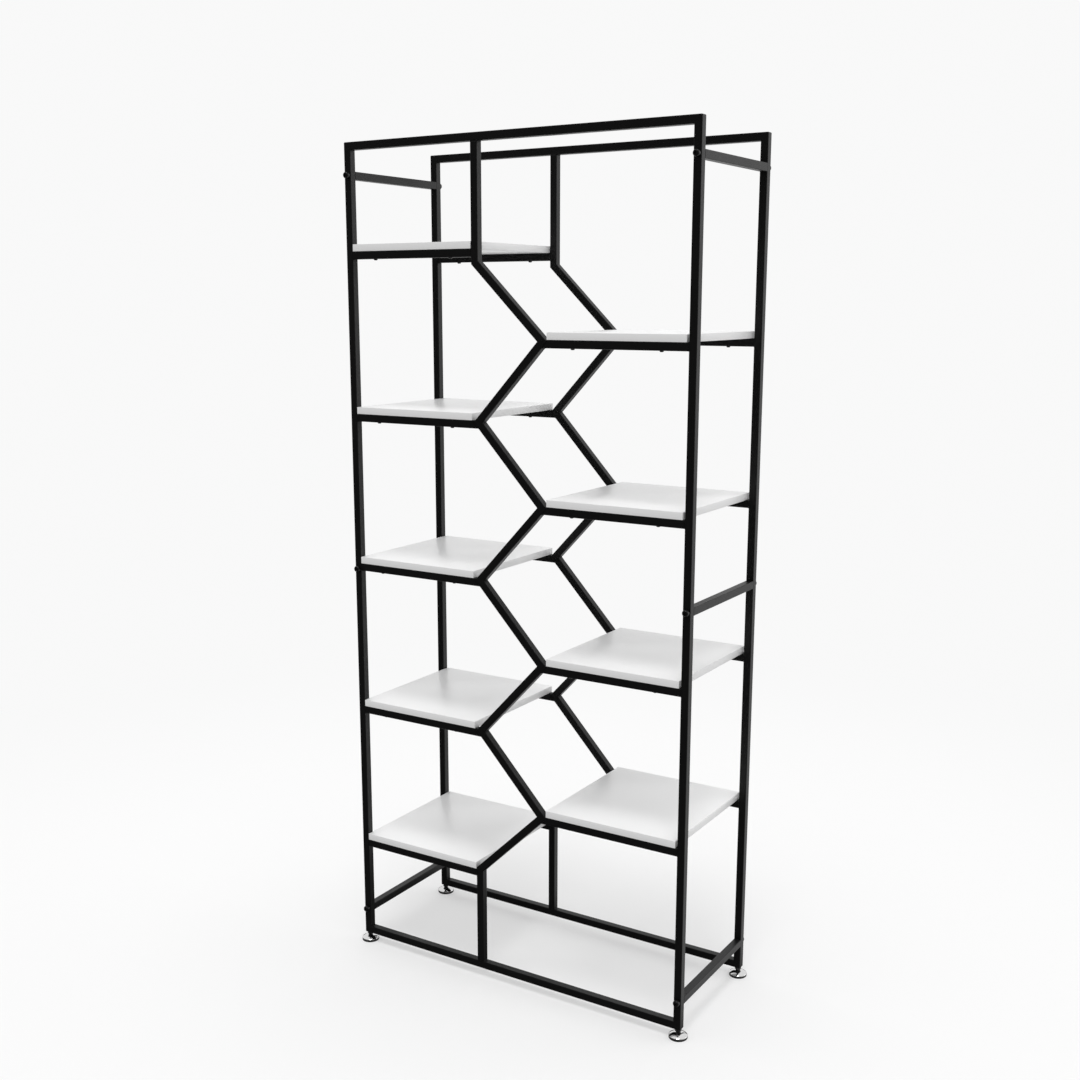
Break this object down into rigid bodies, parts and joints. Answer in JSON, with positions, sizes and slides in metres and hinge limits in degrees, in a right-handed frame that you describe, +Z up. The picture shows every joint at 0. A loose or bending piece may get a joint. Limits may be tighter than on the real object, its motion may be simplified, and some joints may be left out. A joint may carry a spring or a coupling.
{
  "type": "zigzag bookshelf",
  "caption": "Tall open bookshelf: two black square-tube frames with a zigzag middle tube carry white boards in two staggered columns on domed screw feet.",
  "frame": {"origin": "on the floor, under the middle of the bookshelf", "axes": "+X to the right seen from the front, +Y to the back, +Z up; the column of five boards is on the left, at -X"},
  "size_m": [0.925, 0.375, 1.975],
  "materials": {
    "frame_steel": "satin black powder coat",
    "board": "white laminate on board",
    "bolt": "black oxide",
    "foot_base": "polished plate over a dark pad",
    "foot_stem": "dark zinc"
  },
  "bodies": {
    "rack": {"front_outer_frame": "frame_steel", "front_zigzag_tube": "frame_steel", "front_left_rail_1": "frame_steel", "front_left_rail_2": "frame_steel", "front_left_rail_3": "frame_steel", "front_left_rail_4": "frame_steel", "front_left_rail_5": "frame_steel", "front_right_rail_1": "frame_steel", "front_right_rail_2": "frame_steel", "front_right_rail_3": "frame_steel", "front_right_rail_4": "frame_steel", "back_outer_frame": "frame_steel", "back_zigzag_tube": "frame_steel", "back_left_rail_1": "frame_steel", "back_left_rail_2": "frame_steel", "back_left_rail_3": "frame_steel", "back_left_rail_4": "frame_steel", "back_left_rail_5": "frame_steel", "back_right_rail_1": "frame_steel", "back_right_rail_2": "frame_steel", "back_right_rail_3": "frame_steel", "back_right_rail_4": "frame_steel", "top_left_crossbar": "frame_steel", "top_right_crossbar": "frame_steel", "middle_left_crossbar": "frame_steel", "middle_right_crossbar": "frame_steel", "bottom_left_crossbar": "frame_steel", "bottom_right_crossbar": "frame_steel", "left_board_1": "board", "left_board_2": "board", "left_board_3": "board", "left_board_4": "board", "left_board_5": "board", "right_board_1": "board", "right_board_2": "board", "right_board_3": "board", "right_board_4": "board", "bolt_front_top_left": "bolt", "bolt_front_top_right": "bolt", "bolt_front_middle_left": "bolt", "bolt_front_middle_right": "bolt", "bolt_front_bottom_left": "bolt", "bolt_front_bottom_right": "bolt", "bolt_back_top_left": "bolt", "bolt_back_top_right": "bolt", "bolt_back_middle_left": "bolt", "bolt_back_middle_right": "bolt", "bolt_back_bottom_left": "bolt", "bolt_back_bottom_right": "bolt"},
    "base_front_left": {"foot_base_front_left": "foot_base"},
    "stem_front_left": {"foot_stem_front_left": "foot_stem"},
    "base_front_right": {"foot_base_front_right": "foot_base"},
    "stem_front_right": {"foot_stem_front_right": "foot_stem"},
    "base_back_left": {"foot_base_back_left": "foot_base"},
    "stem_back_left": {"foot_stem_back_left": "foot_stem"},
    "base_back_right": {"foot_base_back_right": "foot_base"},
    "stem_back_right": {"foot_stem_back_right": "foot_stem"}
  },
  "joints": [
    {"name": "foot_lower_front_left", "type": "slide", "parent": "rack", "child": "base_front_left", "axis": [0, 0, -1], "range_m": [0, 0.01]},
    {"name": "foot_turn_front_left", "type": "hinge", "parent": "base_front_left", "child": "stem_front_left", "pos_m": [-0.441, -0.166, 0.022], "axis": [0, 0, -1], "range_deg": [0, 2880]},
    {"name": "foot_lower_front_right", "type": "slide", "parent": "rack", "child": "base_front_right", "axis": [0, 0, -1], "range_m": [0, 0.01]},
    {"name": "foot_turn_front_right", "type": "hinge", "parent": "base_front_right", "child": "stem_front_right", "pos_m": [0.441, -0.166, 0.022], "axis": [0, 0, -1], "range_deg": [0, 2880]},
    {"name": "foot_lower_back_left", "type": "slide", "parent": "rack", "child": "base_back_left", "axis": [0, 0, -1], "range_m": [0, 0.01]},
    {"name": "foot_turn_back_left", "type": "hinge", "parent": "base_back_left", "child": "stem_back_left", "pos_m": [-0.441, 0.166, 0.022], "axis": [0, 0, -1], "range_deg": [0, 2880]},
    {"name": "foot_lower_back_right", "type": "slide", "parent": "rack", "child": "base_back_right", "axis": [0, 0, -1], "range_m": [0, 0.01]},
    {"name": "foot_turn_back_right", "type": "hinge", "parent": "base_back_right", "child": "stem_back_right", "pos_m": [0.441, 0.166, 0.022], "axis": [0, 0, -1], "range_deg": [0, 2880]}
  ],
  "couplings": [
    {"joint": "foot_turn_front_left", "follows": "foot_lower_front_left", "rad_per_m": 5026.5},
    {"joint": "foot_turn_front_right", "follows": "foot_lower_front_right", "rad_per_m": 5026.5},
    {"joint": "foot_turn_back_left", "follows": "foot_lower_back_left", "rad_per_m": 5026.5},
    {"joint": "foot_turn_back_right", "follows": "foot_lower_back_right", "rad_per_m": 5026.5}
  ]
}
